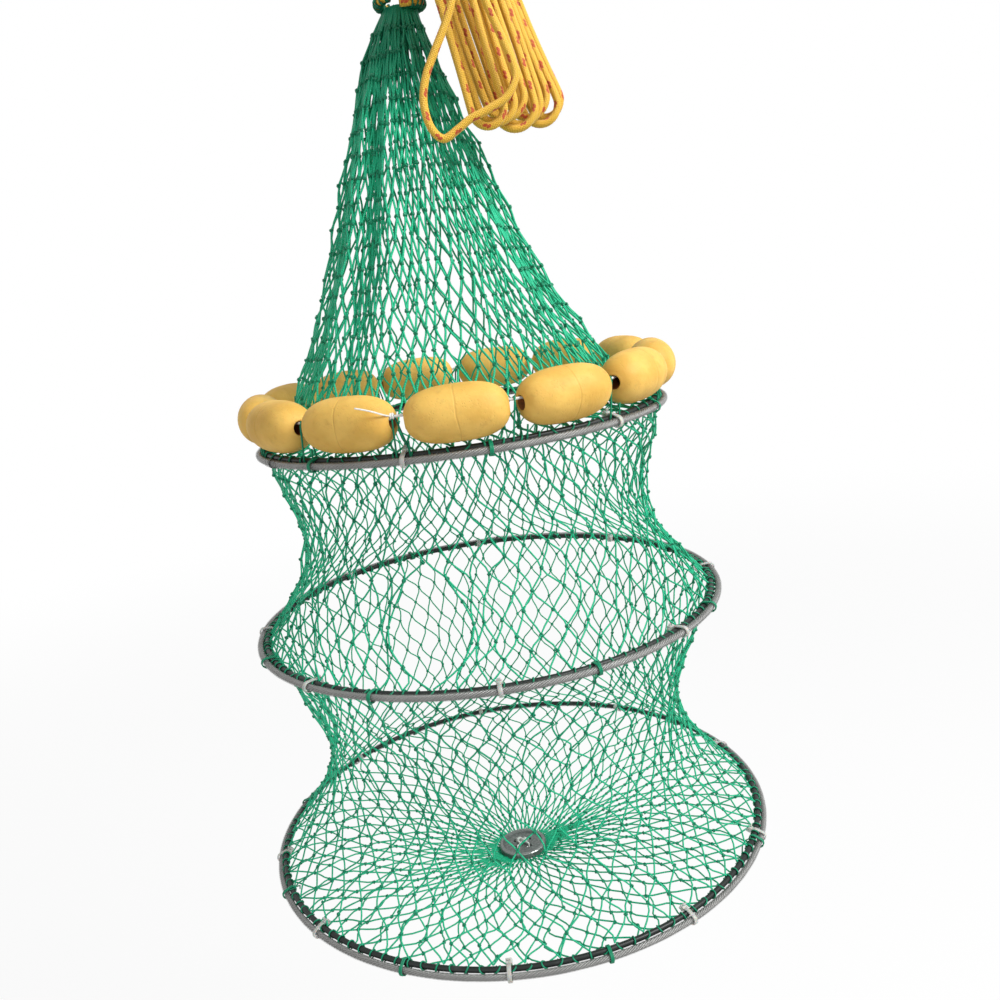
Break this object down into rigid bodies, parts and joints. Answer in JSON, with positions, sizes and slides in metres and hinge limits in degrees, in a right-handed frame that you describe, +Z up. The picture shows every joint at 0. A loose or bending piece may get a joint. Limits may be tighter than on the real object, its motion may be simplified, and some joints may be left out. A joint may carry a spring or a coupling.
{
  "type": "floating fish basket",
  "caption": "Hanging fish basket of green diamond netting on round hoops, with foam floats round the top one, a necked mouth on a yellow drawcord and a round sinker below.",
  "frame": {"origin": "middle of the drawn-in mouth, where the basket hangs", "axes": "+Z up along the basket's axis, -Y towards the viewer of the picture, +X to the viewer's right"},
  "size_m": [0.4887, 0.4892, 0.8035],
  "materials": {
    "black_tube": "satin black plastic tube",
    "sleeved_wire_rope": "stranded steel wire rope seen through a clear glossy sleeve",
    "nylon": "milky translucent nylon",
    "foam": "matt closed-cell foam with a fine skin",
    "clear_line": "clear nylon line",
    "green_twine": "twisted, slightly shiny knotted twine",
    "zinc": "dull grey cast metal",
    "yellow_rope": "braided rope with red flecks"
  },
  "bodies": {
    "neck": {"neck_net": "green_twine", "drawcord": "yellow_rope", "rope_hank": "yellow_rope"},
    "top_ring": {"top_hoop": "black_tube", "top_rope_hoop": "sleeved_wire_rope", "top_tie_1": "nylon", "top_tie_2": "nylon", "top_tie_3": "nylon", "top_tie_4": "nylon", "top_tie_5": "nylon", "top_tie_6": "nylon", "float_line": "clear_line", "upper_net": "green_twine"},
    "float_1_body": {"float_1": "foam"},
    "float_2_body": {"float_2": "foam"},
    "float_3_body": {"float_3": "foam"},
    "float_4_body": {"float_4": "foam"},
    "float_5_body": {"float_5": "foam"},
    "float_6_body": {"float_6": "foam"},
    "float_7_body": {"float_7": "foam"},
    "float_8_body": {"float_8": "foam"},
    "float_9_body": {"float_9": "foam"},
    "float_10_body": {"float_10": "foam"},
    "float_11_body": {"float_11": "foam"},
    "float_12_body": {"float_12": "foam"},
    "float_13_body": {"float_13": "foam"},
    "middle_ring": {"middle_hoop": "black_tube", "middle_rope_hoop": "sleeved_wire_rope", "middle_tie_1": "nylon", "middle_tie_2": "nylon", "middle_tie_3": "nylon", "middle_tie_4": "nylon", "middle_tie_5": "nylon", "middle_tie_6": "nylon", "middle_tie_7": "nylon", "middle_tie_8": "nylon", "lower_net": "green_twine"},
    "bottom_ring": {"bottom_hoop": "black_tube", "bottom_rope_hoop": "sleeved_wire_rope", "bottom_tie_1": "nylon", "bottom_tie_2": "nylon", "bottom_tie_3": "nylon", "bottom_tie_4": "nylon", "bottom_tie_5": "nylon", "bottom_tie_6": "nylon", "bottom_tie_7": "nylon", "bottom_tie_8": "nylon", "bottom_tie_9": "nylon", "bottom_net": "green_twine", "sinker": "zinc", "sinker_line": "clear_line"}
  },
  "joints": [
    {"name": "top_hoop_rise", "type": "slide", "parent": "neck", "child": "top_ring", "axis": [0, 0, 1], "range_m": [0, 0.25], "deforming": ["neck_net"]},
    {"name": "middle_hoop_rise", "type": "slide", "parent": "top_ring", "child": "middle_ring", "axis": [0, 0, 1], "range_m": [0, 0.15], "deforming": ["upper_net"]},
    {"name": "bottom_hoop_rise", "type": "slide", "parent": "middle_ring", "child": "bottom_ring", "axis": [0, 0, 1], "range_m": [0, 0.205], "deforming": ["lower_net"]},
    {"name": "float_1_spin", "type": "hinge", "parent": "top_ring", "child": "float_1_body", "pos_m": [-0.00192, -0.16849, -0.2938], "axis": [0.9999, -0.0114, 0], "continuous": true},
    {"name": "float_2_spin", "type": "hinge", "parent": "top_ring", "child": "float_2_body", "pos_m": [0.0766, -0.15008, -0.2938], "axis": [0.8907, 0.4546, 0], "continuous": true},
    {"name": "float_3_spin", "type": "hinge", "parent": "top_ring", "child": "float_3_body", "pos_m": [0.13757, -0.0973, -0.2938], "axis": [0.5774, 0.8164, 0], "continuous": true},
    {"name": "float_4_spin", "type": "hinge", "parent": "top_ring", "child": "float_4_body", "pos_m": [0.16703, -0.02222, -0.2938], "axis": [0.1319, 0.9913, 0], "continuous": true},
    {"name": "float_5_spin", "type": "hinge", "parent": "top_ring", "child": "float_5_body", "pos_m": [0.15822, 0.05795, -0.2938], "axis": [-0.3439, 0.939, 0], "continuous": true},
    {"name": "float_6_spin", "type": "hinge", "parent": "top_ring", "child": "float_6_body", "pos_m": [0.11317, 0.12484, -0.2938], "axis": [-0.7409, 0.6716, 0], "continuous": true},
    {"name": "float_7_spin", "type": "hinge", "parent": "top_ring", "child": "float_7_body", "pos_m": [0.04219, 0.16313, -0.2938], "axis": [-0.9681, 0.2504, 0], "continuous": true},
    {"name": "float_8_spin", "type": "hinge", "parent": "top_ring", "child": "float_8_body", "pos_m": [-0.03846, 0.16405, -0.2938], "axis": [-0.9736, -0.2282, 0], "continuous": true},
    {"name": "float_9_spin", "type": "hinge", "parent": "top_ring", "child": "float_9_body", "pos_m": [-0.11029, 0.12739, -0.2938], "axis": [-0.756, -0.6545, 0], "continuous": true},
    {"name": "float_10_spin", "type": "hinge", "parent": "top_ring", "child": "float_10_body", "pos_m": [-0.15686, 0.06155, -0.2938], "axis": [-0.3653, -0.9309, 0], "continuous": true},
    {"name": "float_11_spin", "type": "hinge", "parent": "top_ring", "child": "float_11_body", "pos_m": [-0.16749, -0.0184, -0.2938], "axis": [0.1092, -0.994, 0], "continuous": true},
    {"name": "float_12_spin", "type": "hinge", "parent": "top_ring", "child": "float_12_body", "pos_m": [-0.13976, -0.09413, -0.2938], "axis": [0.5586, -0.8294, 0], "continuous": true},
    {"name": "float_13_spin", "type": "hinge", "parent": "top_ring", "child": "float_13_body", "pos_m": [-0.08, -0.1483, -0.2938], "axis": [0.8801, -0.4748, 0], "continuous": true}
  ]
}
